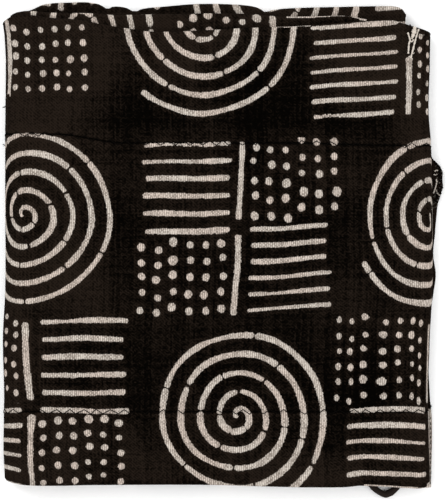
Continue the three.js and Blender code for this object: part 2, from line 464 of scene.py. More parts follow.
# How far round each spiral is turned, in turns, its tightness right, left, up and down, and how
# long its waist is, where the rings run straight down
SPIRAL_FITS = [
    ("top_spiral", 0.0, 0.97, 0.97, 1.03, 1.03, 0.0),
    ("left_spiral", -0.04, 1.01, 1.6, 1.015, 1.07, 0.0),
    ("right_spiral", 0.4, 3.2, 1.14, 0.98, 0.99, 3.6),
    ("second_spiral", 0.084, 1.0, 1.06, 1.0, 1.0, 0.0),
]
# How far each motif's own ground reaches to its right, left, top and bottom
USUAL_CELL = (82.0, 82.0, 77.0, 77.0)
CELLS = {
    "top_left_cross": (75.0, 82.0, 77.0, 80.0),
    "top_spiral": (78.0, 84.5, 77.0, 81.0),
    "top_right_cross": (82.0, 85.2, 77.0, 80.0),
    "left_spiral": (87.5, 82.0, 82.4, 78.0),
    "middle_cross": (84.0, 85.0, 81.4, 75.4),
    "right_spiral": (82.0, 68.3, 71.0, 77.0),
    "low_left_cross": (84.0, 82.0, 76.4, 77.0),
    "low_spiral": (73.0, 84.0, 75.0, 77.0),
    "low_right_cross": (82.0, 78.4, 79.0, 77.0),
}
# Columns of marks on the hidden panels: s at the middle, whether the top one is a spiral, and its t
HIDDEN_COLUMNS = [
    (-484.0, False, 182.0),
    (-322.0, True, 182.0),
    (THIRD_MIDDLE - 128.0, False, 185.6),
    (THIRD_MIDDLE + 39.6, True, 205.0),
    (THIRD_MIDDLE + 199.0, False, 182.0),
]
ROW_PITCH = 154.5
motif_names = list(MOTIFS)
motifs = list(MOTIFS.values())
# The rows that are turned in past the top and the bottom of the face, and the hidden panels' rows
top_row, low_row = motifs[:3], motifs[6:9]
for face_row, way in ((top_row, 1), (low_row, -1)):
    for s_mid, t_mid, kind in face_row:
        motifs.append((s_mid, t_mid + way * ROW_PITCH, 1 if abs(kind) < CROSS_FROM else 0))
for s_mid, t_mid, kind in (MOTIFS["second_cross"], MOTIFS["second_spiral"]):
    for row in (-1, 1, 2, 3):
        spiral = (row % 2 == 0) == (kind == 0)
        motifs.append((s_mid, t_mid - row * ROW_PITCH, 0 if spiral else 1))
for s_mid, spiral_first, t_mid in HIDDEN_COLUMNS:
    for row in range(-1, 4):
        spiral = (row % 2 == 0) == spiral_first
        motifs.append((s_mid, t_mid - row * ROW_PITCH, 0 if spiral else 1))
motifs = np.array(motifs, float)
cells = np.tile(USUAL_CELL, (len(motifs), 1))
for motif, cell in CELLS.items():
    cells[motif_names.index(motif)] = cell
# How much larger or smaller than usual each cross's dots are, as a share
DOT_SIZES = {
    "top_left_cross": -0.11,
    "top_right_cross": -0.05,
    "middle_cross": -0.04,
    "low_left_cross": -0.09,
    "low_right_cross": -0.13,
}
dot_sizes = np.array([DOT_SIZES.get(name, 0.0) for name in motif_names])
dot_sizes = np.pad(dot_sizes, (0, len(motifs) - len(dot_sizes)))
# Patches by s and t: bare ones without marks, and undyed ones left pale
BARE_KIND = 9
UNDYED_KIND = 5
PATCHES = [
    (BARE_KIND, (164.6, 176.0), (FACE_START, -134.0)),
    (BARE_KIND, (-176.0, -94.0), (108.0, 123.6)),
    (BARE_KIND, (18.0, 69.0), (90.2, 108.0)),
    (BARE_KIND, (69.0, 99.0), (91.0, 101.6)),
    (BARE_KIND, (-72.0, 6.0), (-68.0, -55.5)),
    (BARE_KIND, (-170.4, -90.0), (183.6, 200.0)),
    (BARE_KIND, (154.0, 180.0), (174.6, 190.0)),
    (BARE_KIND, (SECOND_MIDDLE - 124.0, SECOND_MIDDLE - 46.0), (186.0, 202.0)),
    (BARE_KIND, (CLOTH_END - 1, CLOTH_END + 16), (-400.0, 400.0)),
    (UNDYED_KIND, (SECOND_MIDDLE - 101.0, SECOND_MIDDLE - 50.0), (187.3, 188.5)),
    (UNDYED_KIND, (SECOND_MIDDLE - 114.0, SECOND_MIDDLE - 101.0), (186.3, 187.5)),
    (UNDYED_KIND, (40.0, 56.0), (177.4, 178.2)),
    (UNDYED_KIND, (56.0, 71.0), (178.2, 179.0)),
    (UNDYED_KIND, (114.0, 157.0), (FACE_START - 2.4, FACE_START - 0.9)),
    (UNDYED_KIND, (CLOTH_END - 1, CLOTH_END + 8), (FACE_START - 62.0, FACE_START)),
]
STRIP_SMOOTH_ANGLE = 50


# A strip: a flat grid is laid on the fold route, each face takes the nearest mark's own places as
# maps for the material, and the sheet then gets its thickness
def cloth_grid(name, place):
    rows, columns = place.shape[0] - 1, place.shape[1] - 1
    bpy.ops.object.select_all(action="DESELECT")
    bpy.ops.mesh.primitive_grid_add(
        x_subdivisions=columns, y_subdivisions=rows, size=1, calc_uvs=False
    )
    piece = bpy.context.object
    piece.name = name
    mesh = piece.data
    mesh.name = name
    grid = np.empty(len(mesh.vertices) * 3)
    mesh.vertices.foreach_get("co", grid)
    grid = grid.reshape(-1, 3)
    column = np.rint((grid[:, 0] + 0.5) * columns).astype(int)
    row = np.rint((grid[:, 1] + 0.5) * rows).astype(int)
    s = stations[0][column]
    across = place[row, column]
    mesh.vertices.foreach_set("co", (lay(s, across, 0.0) * MM).ravel())
    flat = np.stack([s, FACE_START + across], axis=-1)
    corner = np.empty(len(mesh.loops), int)
    mesh.loops.foreach_get("vertex_index", corner)
    corners = flat[corner].reshape(-1, 4, 2)
    middle = corners.mean(axis=1)
    off = middle[:, None, :] - motifs[None, :, :2]
    away = np.abs(off) / np.where(off > 0, cells[:, 0::2], cells[:, 1::2])
    nearest = away.max(axis=2).argmin(axis=1)
    chosen = motifs[nearest]
    marks = corners - chosen[:, None, :2]
    bars = marks.copy()
    side = np.sign(middle - chosen[:, :2])
    stripes_up = -np.sign(chosen[:, 2]) * side[:, 0]
    side[:, 1] = np.sign(middle[:, 1] - chosen[:, 1] + STRIPE_MARGIN * stripes_up)
    for motif, quarter, wide, shift_x, tall, shift_y, lean, bow in QUARTER_FITS:
        here = (nearest == motif_names.index(motif)) & (side == quarter).all(axis=1)
        out = marks[here] * np.array(quarter)
        along = out[..., 0] - STRIPE_MIDDLE
        fitted_x = out[..., 0] * wide + shift_x
        bowed = bow * (1 - (along / STRIPE_HALF) ** 2)
        fitted_y = out[..., 1] * tall + shift_y + lean * along + bowed
        if (motif, quarter) == EDGE_QUARTER:
            fitted_x = np.interp(out[..., 0], *np.array(EDGE_COLUMNS).T)
        fitted_y = np.maximum(fitted_y, -STRIPE_MARGIN)
        marks[here] = np.stack([fitted_x, fitted_y], axis=-1) * np.array(quarter)
    for motif, shift, lean_up, lean_down, width, start in BAR_FITS:
        here = nearest == motif_names.index(motif)
        bar_y = bars[here, :, 1]
        bar_line = shift + bar_y * np.where(bar_y > 0, lean_up, lean_down)
        bars[here, :, 0] = (bars[here, :, 0] - bar_line) / width
        longer = (BAR_REACH[1] - BAR_REACH[0]) / (BAR_REACH[1] - start)
        bar_reach = (np.abs(bar_y) - start) * longer + BAR_REACH[0]
        bars[here, :, 1] = np.sign(bar_y) * np.maximum(bar_reach, 0)
    for motif, turns, right, left, up, down, waist in SPIRAL_FITS:
        here = nearest == motif_names.index(motif)
        x, y = marks[here, :, 0], marks[here, :, 1]
        y = np.where(y > 0, y, np.minimum(y + waist, 0))
        x = x * np.where(x > 0, right, left)
        y = y * np.where(y > 0, up, down)
        c, d = math.cos(2 * math.pi * turns), math.sin(2 * math.pi * turns)
        marks[here] = np.stack([x, y], axis=-1) @ np.array([[c, d], [-d, c]])
    own = np.stack([chosen[:, 2], nearest + dot_sizes[nearest]], axis=-1)
    for kind, s_span, t_span in PATCHES:
        here = (middle[:, 0] > s_span[0]) & (middle[:, 0] < s_span[1])
        here = here & (middle[:, 1] > t_span[0]) & (middle[:, 1] < t_span[1])
        own[here, 0] = kind
    maps = {
        "flat_cloth": corners * MM,
        "mark_place": marks * MM,
        "bar_place": bars * MM,
        "mark_kind": np.repeat(own[:, None, :], 4, axis=1),
    }
    for key, values in maps.items():
        mesh.uv_layers.new(name=key).data.foreach_set("uv", values.ravel())
    skin = piece.modifiers.new("thickness", "SOLIDIFY")
    skin.thickness = CLOTH_THICKNESS * MM
    skin.offset = 0
    bpy.ops.object.modifier_apply(modifier=skin.name)
    bpy.ops.object.shade_smooth_by_angle(angle=math.radians(STRIP_SMOOTH_ANGLE))
    return piece


# Rows of places across a strip: zones from one edge to the next, each with its count of steps
def blend_rows(zones):
    rows = []
    for low, high, count in zones:
        for i in range(count):
            rows.append(low + (high - low) * i / count)
    rows.append(zones[-1][1] + 0 * rows[0])
    return np.stack(rows)


face_lengths = stations[5] - CLOTH_THICKNESS / 2 - HALF_BUNDLE - FACE_START
level = np.zeros_like(face_lengths)
seam_low = SEAM_PLACE + level
seam_high = seam_low + STRIP_WIDTH + seam_drift(stations[0])
top_edge = seam_low + 2 * STRIP_WIDTH
low_edge = seam_low - STRIP_WIDTH
half_gap = SEAM_GAP / 2
strip_rows = {
    "upper_strip": blend_rows(
        [
            (seam_high + half_gap, face_lengths, 42),
            (face_lengths, face_lengths + TURN_LENGTH, 12),
            (face_lengths + TURN_LENGTH, top_edge, 22),
        ]
    ),
    "middle_strip": blend_rows([(seam_low + half_gap, seam_high - half_gap, 98)]),
    "lower_strip": blend_rows(
        [
            (low_edge, level - TURN_LENGTH, 26),
            (level - TURN_LENGTH, level, 12),
            (level, seam_low - half_gap, 28),
        ]
    ),
}

# Mud-dyed cotton: near-black yarns with cream marks whose edges step from yarn to yarn
cloth_finish = bpy.data.materials.new("mud_dyed_cotton")
cloth_finish.use_nodes = True
tree = cloth_finish.node_tree


def new_node(kind, **settings):
    made = tree.nodes.new(kind)
    for key, value in settings.items():
        setattr(made, key, value)
    return made


def plug(socket, value):
    if hasattr(value, "is_linked"):
        tree.links.new(value, socket)
    else:
        socket.default_value = value


def calc(operation, *values):
    made = new_node("ShaderNodeMath", operation=operation)
    for socket, value in zip(made.inputs, values):
        plug(socket, value)
    return made.outputs[0]


def vec(operation, *values, scale=None):
    made = new_node("ShaderNodeVectorMath", operation=operation)
    for socket, value in zip(made.inputs, values):
        plug(socket, value)
    if scale is not None:
        plug(made.inputs["Scale"], scale)
    return made.outputs["Vector"]


def split(vector):
    made = new_node("ShaderNodeSeparateXYZ")
    plug(made.inputs[0], vector)
    return made.outputs[0], made.outputs[1]


def join(x, y):
    made = new_node("ShaderNodeCombineXYZ")
    plug(made.inputs[0], x)
    plug(made.inputs[1], y)
    return made.outputs[0]


def cloud(vector, scale, detail):
    made = new_node("ShaderNodeTexNoise", noise_dimensions="2D")
    plug(made.inputs["Vector"], vector)
    made.inputs["Scale"].default_value = scale
    made.inputs["Detail"].default_value = detail
    return made


def speck(vector):
    made = new_node("ShaderNodeTexWhiteNoise", noise_dimensions="2D")
    plug(made.inputs["Vector"], vector)
    return made


def ramp(value, low, high):
    made = new_node("ShaderNodeMapRange", interpolation_type="SMOOTHSTEP")
    plug(made.inputs["Value"], value)
    plug(made.inputs["From Min"], low)
    plug(made.inputs["From Max"], high)
    return made.outputs[0]


# The mix node's sockets 6 and 7 are its two colours
def colour_mix(share, a, b):
    made = new_node("ShaderNodeMix", data_type="RGBA")
    plug(made.inputs[0], share)
    plug(made.inputs[6], a)
    plug(made.inputs[7], b)
    return made.outputs[2]


def own_map(name):
    return new_node("ShaderNodeUVMap", uv_map=name).outputs[0]


def centred(colour):
    return vec("SUBTRACT", colour, (0.5, 0.5, 0.5))


def square_sum(a, b):
    return calc("ADD", calc("MULTIPLY", a, a), calc("MULTIPLY", b, b))


def choose(share, a, b):
    other = calc("SUBTRACT", 1.0, share)
    return calc("ADD", calc("MULTIPLY", share, a), calc("MULTIPLY", other, b))


def hill(off_squared):
    return calc("EXPONENT", calc("MULTIPLY", off_squared, -1.0))


flat_mm, mark_mm, bar_mm = (
    vec("SCALE", own_map(name), scale=1 / MM) for name in ("flat_cloth", "mark_place", "bar_place")
)
flat_s, flat_t = split(flat_mm)
mark_kind, seed_and_size = split(own_map("mark_kind"))
mark_seed = calc("ROUND", seed_and_size)
dots_larger = calc("SUBTRACT", seed_and_size, mark_seed)

# Yarns, a little uneven in width, crossing over and under. A cloud is a scale per mm and a detail.
YARN_PITCH = (1.5, 1.25)
WANDER_CLOUD = (0.07, 3.0)
WANDER_REACH = 3.2
WEAVE_SHARE = 0.4
BEAD_SHARE = 0.6
wander = centred(cloud(flat_mm, *WANDER_CLOUD).outputs["Color"])
yarn_place = vec("ADD", flat_mm, vec("SCALE", wander, scale=WANDER_REACH))
yarn_s, yarn_t = split(vec("DIVIDE", yarn_place, (*YARN_PITCH, 1.0)))
wave_s = calc("SINE", calc("MULTIPLY", yarn_s, math.pi))
wave_t = calc("SINE", calc("MULTIPLY", yarn_t, math.pi))
ridge_s = calc("ABSOLUTE", wave_s)
ridge_t = calc("ABSOLUTE", wave_t)
crossed = calc("MULTIPLY", wave_s, wave_t)
warp_up = calc("MULTIPLY", ridge_s, calc("MULTIPLY_ADD", ridge_t, 0.5, 0.5))
weft_up = calc("MULTIPLY", ridge_t, calc("MULTIPLY_ADD", ridge_s, 0.5, 0.5))
weave = choose(calc("GREATER_THAN", crossed, 0.0), warp_up, weft_up)
bead = calc("MULTIPLY_ADD", crossed, 0.5, 0.5)
yarn_height = calc("ADD", calc("MULTIPLY", weave, WEAVE_SHARE), calc("MULTIPLY", bead, BEAD_SHARE))
warp_number = calc("FLOOR", yarn_s)
weft_number = calc("FLOOR", yarn_t)
crossing_chance = speck(join(warp_number, weft_number)).outputs["Value"]

# The hand's wobble on each mark: a slow sway and a short shake
SWAY_CLOUD = (0.02, 0.0)
SWAY_REACH = 3.2
SHAKE_CLOUD = (0.3, 2.0)
SHAKE_REACH = 0.9
sway = centred(cloud(flat_mm, *SWAY_CLOUD).outputs["Color"])
shake = centred(cloud(flat_mm, *SHAKE_CLOUD).outputs["Color"])
hand = vec("ADD", vec("SCALE", sway, scale=SWAY_REACH), vec("SCALE", shake, scale=SHAKE_REACH))
mark_x, mark_y = split(vec("ADD", mark_mm, hand))

# Depth inside a stroke with rounded ends: how far off its middle line, and off its ends
STROKE_ROUND = 1.9


def stroke_ink(off, half_width, end_off):
    straight_half = calc("SUBTRACT", half_width, STROKE_ROUND)
    past_side = calc("MAXIMUM", calc("SUBTRACT", off, straight_half), 0.0)
    past_end = calc("MAXIMUM", calc("SUBTRACT", STROKE_ROUND, end_off), 0.0)
    return calc("SUBTRACT", STROKE_ROUND, calc("SQRT", square_sum(past_side, past_end)))


def off_ends(reach, start, end):
    return calc("MINIMUM", calc("SUBTRACT", reach, start), calc("SUBTRACT", end, reach))


# Spiral: outward clockwise from a small hook, in strokes with thin breaks between them
SPIRAL_PITCH = 15.1
SPIRAL_START = 8.0
SPIRAL_TURNS = 4.37
SPIRAL_STROKE = 4.5
HOOK_TURNS = 0.16
HOOK_START = 0.6
HOOK_CLEAR = 0.09
HOOK_PULL = 3.2
HOOK_FADE = 0.2
HOOK_THICKER = 0.4
BREAKS_PER_TURN = 4.6
BREAK_WIDTH = 1.3
BREAK_DRIFT = 0.4
DRIFT_TURN = (0.25, 2.3)
FAR_OFF = 40.0
radius = calc("SQRT", square_sum(mark_x, mark_y))
round_mm = calc("MULTIPLY", radius, 2 * math.pi)
turn = calc("DIVIDE", calc("ARCTAN2", mark_y, mark_x), -2 * math.pi)
hook_pull = calc("MULTIPLY", calc("EXPONENT", calc("MULTIPLY", radius, -HOOK_FADE)), HOOK_PULL)
arm_radius = calc("SUBTRACT", calc("SUBTRACT", radius, hook_pull), SPIRAL_START)
arm_place = calc("SUBTRACT", calc("DIVIDE", arm_radius, SPIRAL_PITCH), turn)
arm = calc("ROUND", arm_place)
arm_off = calc("MULTIPLY", calc("ABSOLUTE", calc("SUBTRACT", arm_place, arm)), SPIRAL_PITCH)
arm_turns = calc("ADD", arm, turn)
past_hook = calc("SUBTRACT", arm_turns, HOOK_TURNS)
in_hook = calc("LESS_THAN", past_hook, -HOOK_CLEAR)
drift_turn = calc("MULTIPLY_ADD", mark_seed, *DRIFT_TURN)
dash_drift = calc("SINE", calc("MULTIPLY", past_hook, drift_turn))
dash_drift = calc("MULTIPLY", dash_drift, BREAK_DRIFT)
dash_place = calc("MULTIPLY_ADD", past_hook, BREAKS_PER_TURN, dash_drift)
dash_mm = calc("MULTIPLY", radius, 2 * math.pi / BREAKS_PER_TURN)
break_off = calc("MULTIPLY", calc("PINGPONG", dash_place, 0.5), dash_mm)
dash_end = calc("MULTIPLY_ADD", in_hook, FAR_OFF, calc("SUBTRACT", break_off, BREAK_WIDTH / 2))
tail_turns = calc("SUBTRACT", SPIRAL_TURNS, mark_kind)
tail_off = calc("MULTIPLY", calc("SUBTRACT", tail_turns, arm_turns), round_mm)
hook_off = calc("MULTIPLY", calc("ADD", arm_turns, HOOK_START), round_mm)
spiral_end = calc("MINIMUM", dash_end, calc("MINIMUM", tail_off, hook_off))
spiral_half = calc("MULTIPLY_ADD", in_hook, HOOK_THICKER, SPIRAL_STROKE / 2)
spiral_ink = stroke_ink(arm_off, spiral_half, spiral_end)

# Cross: two bars, two quarters of stripes and two of dots, numbered outwards from the middle
STRIPE_PITCH = 13.5
STRIPE_SHIFT = 1.2
STRIPE_STROKE = 3.9
STRIPE_UNEVEN = 0.5
STRIPE_REACH = (6.6, 74.5)
STRIPE_RAGGED = (2.4, 5.0)
LAST_STRIPE = 4.0
LAST_DOT = 5.0
DOT_START = (11.6, 12.0)
DOT_PITCH = (13.0, 11.6)
DOT_HALF = (3.05, 2.85)
DOT_STAGGER = 6.4
DOT_STRAY = 2.6
DOT_SMALLEST = 0.9
DOT_SPREAD = 0.22
SIDE_SEED = 9.0
BAR_WIDTH = 4.6
NO_INK = 90.0
across = calc("MULTIPLY", mark_x, calc("SIGN", mark_kind))
side = calc("SIGN", across)
reach_x = calc("ABSOLUTE", across)
reach_y = calc("ABSOLUTE", mark_y)
up_y = calc("MULTIPLY", calc("MULTIPLY", mark_y, side), -1.0)
last_step = calc("ADD", calc("ABSOLUTE", mark_kind), LAST_STRIPE)


def nearest_step(reach, start, pitch, last):
    steps = calc("ROUND", calc("DIVIDE", calc("SUBTRACT", reach, start), pitch))
    return calc("MINIMUM", calc("MAXIMUM", steps, 0.0), last)


def off_step(reach, step, start, pitch):
    return calc("SUBTRACT", reach, calc("MULTIPLY_ADD", step, pitch, start))


def side_number(step):
    return calc("MULTIPLY_ADD", side, SIDE_SEED, step)


stripe_y = calc("ADD", up_y, STRIPE_SHIFT)
stripe = nearest_step(stripe_y, 0.0, STRIPE_PITCH, last_step)
stripe_off = calc("ABSOLUTE", off_step(stripe_y, stripe, 0.0, STRIPE_PITCH))
stripe_chance = speck(join(side_number(stripe), mark_seed)).outputs["Value"]
ragged_start, ragged_end = STRIPE_RAGGED
stripe_start = calc("MULTIPLY_ADD", stripe_chance, ragged_start, STRIPE_REACH[0] - ragged_start / 2)
stripe_end = calc("MULTIPLY_ADD", stripe_chance, -ragged_end, STRIPE_REACH[1] + ragged_end / 2)
thinnest = STRIPE_STROKE / 2 - STRIPE_UNEVEN / 2
stripe_half = calc("MULTIPLY_ADD", stripe_chance, STRIPE_UNEVEN, thinnest)
stripe_ink = stroke_ink(stripe_off, stripe_half, off_ends(reach_x, stripe_start, stripe_end))

dot_column = nearest_step(reach_x, DOT_START[0], DOT_PITCH[0], last_step)
column_chance = speck(join(side_number(dot_column), mark_seed)).outputs["Value"]
stagger = calc("MULTIPLY_ADD", column_chance, DOT_STAGGER, -DOT_STAGGER / 2)
dot_reach_y = calc("ADD", reach_y, stagger)
dot_row = nearest_step(dot_reach_y, DOT_START[1], DOT_PITCH[1], LAST_DOT)
dot_chance = speck(join(side_number(dot_column), calc("ADD", dot_row, mark_seed)))
stray = vec("SCALE", centred(dot_chance.outputs["Color"]), scale=DOT_STRAY)
stray_x, stray_y = split(stray)
dot_off_x = off_step(reach_x, dot_column, DOT_START[0], DOT_PITCH[0])
dot_off_y = off_step(dot_reach_y, dot_row, DOT_START[1], DOT_PITCH[1])
dot_x = calc("DIVIDE", calc("SUBTRACT", dot_off_x, stray_x), DOT_HALF[0])
dot_y = calc("DIVIDE", calc("SUBTRACT", dot_off_y, stray_y), DOT_HALF[1])
dot_size = calc("MULTIPLY_ADD", dot_chance.outputs["Value"], DOT_SPREAD, DOT_SMALLEST)
dot_size = calc("ADD", dot_size, dots_larger)
dot_depth = calc("SUBTRACT", dot_size, calc("SQRT", square_sum(dot_x, dot_y)))
dot_ink = calc("MULTIPLY", dot_depth, DOT_HALF[0])
striped = calc("SUBTRACT", 1.0, calc("GREATER_THAN", calc("MULTIPLY", across, mark_y), 0.0))
dot_ink = calc("SUBTRACT", dot_ink, calc("MULTIPLY", striped, NO_INK))

bar_x, bar_y = split(vec("ADD", bar_mm, hand))
bar_end = off_ends(calc("ABSOLUTE", bar_y), *BAR_REACH)
bar_ink = stroke_ink(calc("ABSOLUTE", bar_x), BAR_WIDTH / 2, bar_end)
cross_ink = calc("MAXIMUM", calc("MAXIMUM", stripe_ink, dot_ink), bar_ink)

# The paint: its edge steps at the yarns, and it is pressed on unevenly, thicker below the lower
# seam, thin in a few spots, missing in the bare patches and all over the undyed ones
YARN_STEP = 0.6
PRESS_CLOUD = (0.035, 1.0)
PRESS_DEPTH = 1.7
POOL_BELOW = 8.0
POOL_FALL = 0.13
POOL_DEPTH = 0.6
FAINT_LOSS = 2.0
KIND_MARGIN = 0.1
PATCH_DEPTH = 200.0
PAINT_EDGE = (-0.3, 0.4)
# Where the paint is thin or rubbed off: s, t, and its reach along and across
FAINT_SPOTS = [
    (84.0, 107.4, 15.0, 4.5),
    (-30.0, 84.6, 46.0, 3.2),
    (50.0, 86.0, 17.0, 4.0),
    (-152.0, 92.6, 13.0, 3.6),
]
is_cross = calc("GREATER_THAN", calc("ABSOLUTE", mark_kind), CROSS_FROM)
ink = choose(is_cross, cross_ink, spiral_ink)
ink = calc("ADD", ink, calc("MULTIPLY_ADD", crossing_chance, YARN_STEP, -YARN_STEP / 2))
press = cloud(flat_mm, *PRESS_CLOUD).outputs["Fac"]
ink = calc("ADD", ink, calc("MULTIPLY_ADD", press, PRESS_DEPTH, -PRESS_DEPTH / 2))
below_seam = calc("MULTIPLY", calc("ADD", flat_t, POOL_BELOW - LOWER_SEAM), POOL_FALL)
pool = hill(calc("MULTIPLY", below_seam, below_seam))
ink = calc("ADD", ink, calc("MULTIPLY", pool, POOL_DEPTH))
loss = calc("MULTIPLY", crossing_chance, FAINT_LOSS)
for s_mid, t_mid, s_reach, t_reach in FAINT_SPOTS:
    spot_s = calc("DIVIDE", calc("SUBTRACT", flat_s, s_mid), s_reach)
    spot_t = calc("DIVIDE", calc("SUBTRACT", flat_t, t_mid), t_reach)
    ink = calc("SUBTRACT", ink, calc("MULTIPLY", hill(square_sum(spot_s, spot_t)), loss))
undyed, bare = (
    calc("COMPARE", mark_kind, float(kind), KIND_MARGIN) for kind in (UNDYED_KIND, BARE_KIND)
)
ink = calc("ADD", ink, calc("MULTIPLY", calc("SUBTRACT", undyed, bare), PATCH_DEPTH))
painted = ramp(ink, *PAINT_EDGE)

# Cream: greyer or pinker from place to place and worn in patches and at yarn crossings; painted
# shade darkens it in the pits between the yarns and off the warp ridges
CREAM_GREY = (0.495, 0.447, 0.395, 1)
CREAM_PINK = (0.505, 0.425, 0.37, 1)
CREAM_WORN_AND_SHADED = (0.16, 0.134, 0.113, 1)
TINT_CLOUD = (0.021, 1.0)
TINT_EDGE = (0.38, 0.62)
WEAR_CLOUD = (0.11, 4.0)
WORN_AND_SHADE_START = 0.34
WORN_BY_CROSSING = 0.4
WORN_BY_PLACE = 0.5
SHADE_BY_PIT = 0.5
HIGHLIGHT_BY_WARP = 0.5
WORN_AND_SHADE_EDGE = (0.3, 1.05)
tint = cloud(flat_mm, *TINT_CLOUD).outputs["Fac"]
wear = cloud(flat_mm, *WEAR_CLOUD).outputs["Fac"]
# Painted shade: the cream goes darker in the pits between the yarns and stays lighter along the warp
# ridges
pit = calc("SUBTRACT", 1.0, yarn_height)
shade_off_warp = calc("MULTIPLY_ADD", ridge_s, -HIGHLIGHT_BY_WARP, WORN_AND_SHADE_START)
worn_and_shaded = calc("MULTIPLY_ADD", crossing_chance, WORN_BY_CROSSING, calc("MULTIPLY", wear, WORN_BY_PLACE))
worn_and_shaded = calc("ADD", worn_and_shaded, calc("MULTIPLY_ADD", pit, SHADE_BY_PIT, shade_off_warp))
cream_light = colour_mix(ramp(tint, *TINT_EDGE), CREAM_GREY, CREAM_PINK)
cream = colour_mix(ramp(worn_and_shaded, *WORN_AND_SHADE_EDGE), cream_light, CREAM_WORN_AND_SHADED)

# Mud: dustier on single yarns, in faded places and beside the paint; lighter at the upper left corner as
# painted light, round the rim as painted sheen, on the seams' shoulders and the raised yarns as painted
# highlight, and black down in the seams as painted shade
MUD_DEEP = (0.0006, 0.0004, 0.0002, 1)
MUD_DUSTY_AND_LIT = (0.0115, 0.0077, 0.0054, 1)
FADE_CLOUD = (0.012, 2.0)
DUST_AND_LIGHT_START = -0.62
DUST_BY_CROSSING = 0.45
DUST_BY_WARP = 0.3
DUST_BY_WEFT = 0.2
WARP_SEED = 3.0
WEFT_SEED = 5.0
LIGHT_BY_CORNER = 0.1
CORNER_SLANT = 0.3
CORNER_REACH = (100.0, 240.0)
SHEEN_BY_RIM = 0.36
RIM_HALF = (172.0, 202.0)
RIM_BELOW = 14.0
RIM_POWER = 4.0
RIM_UNEVEN = 0.5
RIM_REACH = (0.8, 1.28)
DUST_BY_PAINT = 0.22
HALO_REACH = 5.0
HIGHLIGHT_BY_SEAM = 0.1
SHOULDER_RISE = (0.4, 2.0)
SHOULDER_FALL = (2.4, 8.0)
SEAM_SHADE = (0.1, 1.3)
YARN_HIGHLIGHT_START = 0.4
HIGHLIGHT_BY_YARN = 0.45
HIGHLIGHT_BY_SLANT = 0.2
DUST_AND_LIGHT_EDGE = (0.04, 0.75)
fade = cloud(flat_mm, *FADE_CLOUD).outputs["Fac"]
warp_chance = speck(join(warp_number, WARP_SEED)).outputs["Value"]
weft_chance = speck(join(WEFT_SEED, weft_number)).outputs["Value"]
yarn_dust = calc("MULTIPLY_ADD", warp_chance, DUST_BY_WARP, calc("MULTIPLY", weft_chance, DUST_BY_WEFT))
dust_and_light = calc("MULTIPLY_ADD", crossing_chance, DUST_BY_CROSSING, calc("ADD", fade, DUST_AND_LIGHT_START))
dust_and_light = calc("ADD", dust_and_light, yarn_dust)
# Painted light: the ground is lighter towards the upper left corner
corner_off = calc("SUBTRACT", flat_t, calc("MULTIPLY", flat_s, CORNER_SLANT))
# Painted sheen: the ground is lighter round the rim of the face and on the turned edges past it
rim_s = calc("DIVIDE", calc("ABSOLUTE", flat_s), RIM_HALF[0])
rim_t = calc("DIVIDE", calc("ABSOLUTE", calc("ADD", flat_t, RIM_BELOW)), RIM_HALF[1])
rim = calc("ADD", calc("POWER", rim_s, RIM_POWER), calc("POWER", rim_t, RIM_POWER))
rim = calc("MULTIPLY_ADD", fade, RIM_UNEVEN, calc("POWER", rim, 1 / RIM_POWER))
drift = calc("MULTIPLY_ADD", ramp(flat_s, *SEAM_RISE[1:]), -SEAM_RISE[0], SEAM_RISE[0])
drift = calc("MULTIPLY_ADD", ramp(flat_s, *SEAM_DIP[1:]), -SEAM_DIP[0], drift)
drift = calc("MULTIPLY", drift, calc("GREATER_THAN", flat_t, LOWER_SEAM + STRIP_WIDTH / 2))
seam_off = calc("SUBTRACT", calc("SUBTRACT", flat_t, LOWER_SEAM), drift)
seam_off = calc("PINGPONG", seam_off, STRIP_WIDTH / 2)
# Painted highlight: the ground is lighter on the shoulders beside each seam
shoulder_highlight = calc("SUBTRACT", ramp(seam_off, *SHOULDER_RISE), ramp(seam_off, *SHOULDER_FALL))
dust_and_light_places = (
    (ramp(corner_off, *CORNER_REACH), LIGHT_BY_CORNER),
    (ramp(rim, *RIM_REACH), SHEEN_BY_RIM),
    (ramp(ink, -HALO_REACH, 0.0), DUST_BY_PAINT),
    (shoulder_highlight, HIGHLIGHT_BY_SEAM),
)
for pale_place, share in dust_and_light_places:
    dust_and_light = calc("MULTIPLY_ADD", pale_place, share, dust_and_light)
# Painted shade: the ground goes to deep black down in the seam groove
dust_and_light = calc("MULTIPLY", dust_and_light, ramp(seam_off, *SEAM_SHADE))
# Painted highlight: the ground is lighter on the raised yarns and along a diagonal across them
slant = calc("COSINE", calc("MULTIPLY", calc("ADD", yarn_s, yarn_t), math.pi))
yarn_highlight = calc("MULTIPLY_ADD", yarn_height, HIGHLIGHT_BY_YARN, YARN_HIGHLIGHT_START)
yarn_highlight = calc("MULTIPLY_ADD", slant, HIGHLIGHT_BY_SLANT, yarn_highlight)
# The ground's pale colour is reached by dust and fading and by the painted light, sheen and highlights
# above
mud = colour_mix(ramp(calc("MULTIPLY", dust_and_light, yarn_highlight), *DUST_AND_LIGHT_EDGE), MUD_DEEP, MUD_DUSTY_AND_LIT)

COTTON_ROUGHNESS = 0.95
COTTON_SHINE = 0.012
WEAVE_BUMP = 0.55
WEAVE_DEPTH = 0.0006
WEAR_BUMP = 0.4
cloth_shader = tree.nodes["Principled BSDF"]
plug(cloth_shader.inputs["Base Color"], colour_mix(painted, mud, cream))
cloth_shader.inputs["Roughness"].default_value = COTTON_ROUGHNESS
cloth_shader.inputs["Specular IOR Level"].default_value = COTTON_SHINE
cloth_bump = new_node("ShaderNodeBump")
cloth_bump.inputs["Strength"].default_value = WEAVE_BUMP
cloth_bump.inputs["Distance"].default_value = WEAVE_DEPTH
plug(cloth_bump.inputs["Height"], calc("MULTIPLY_ADD", wear, WEAR_BUMP, yarn_height))
plug(cloth_shader.inputs["Normal"], cloth_bump.outputs[0])

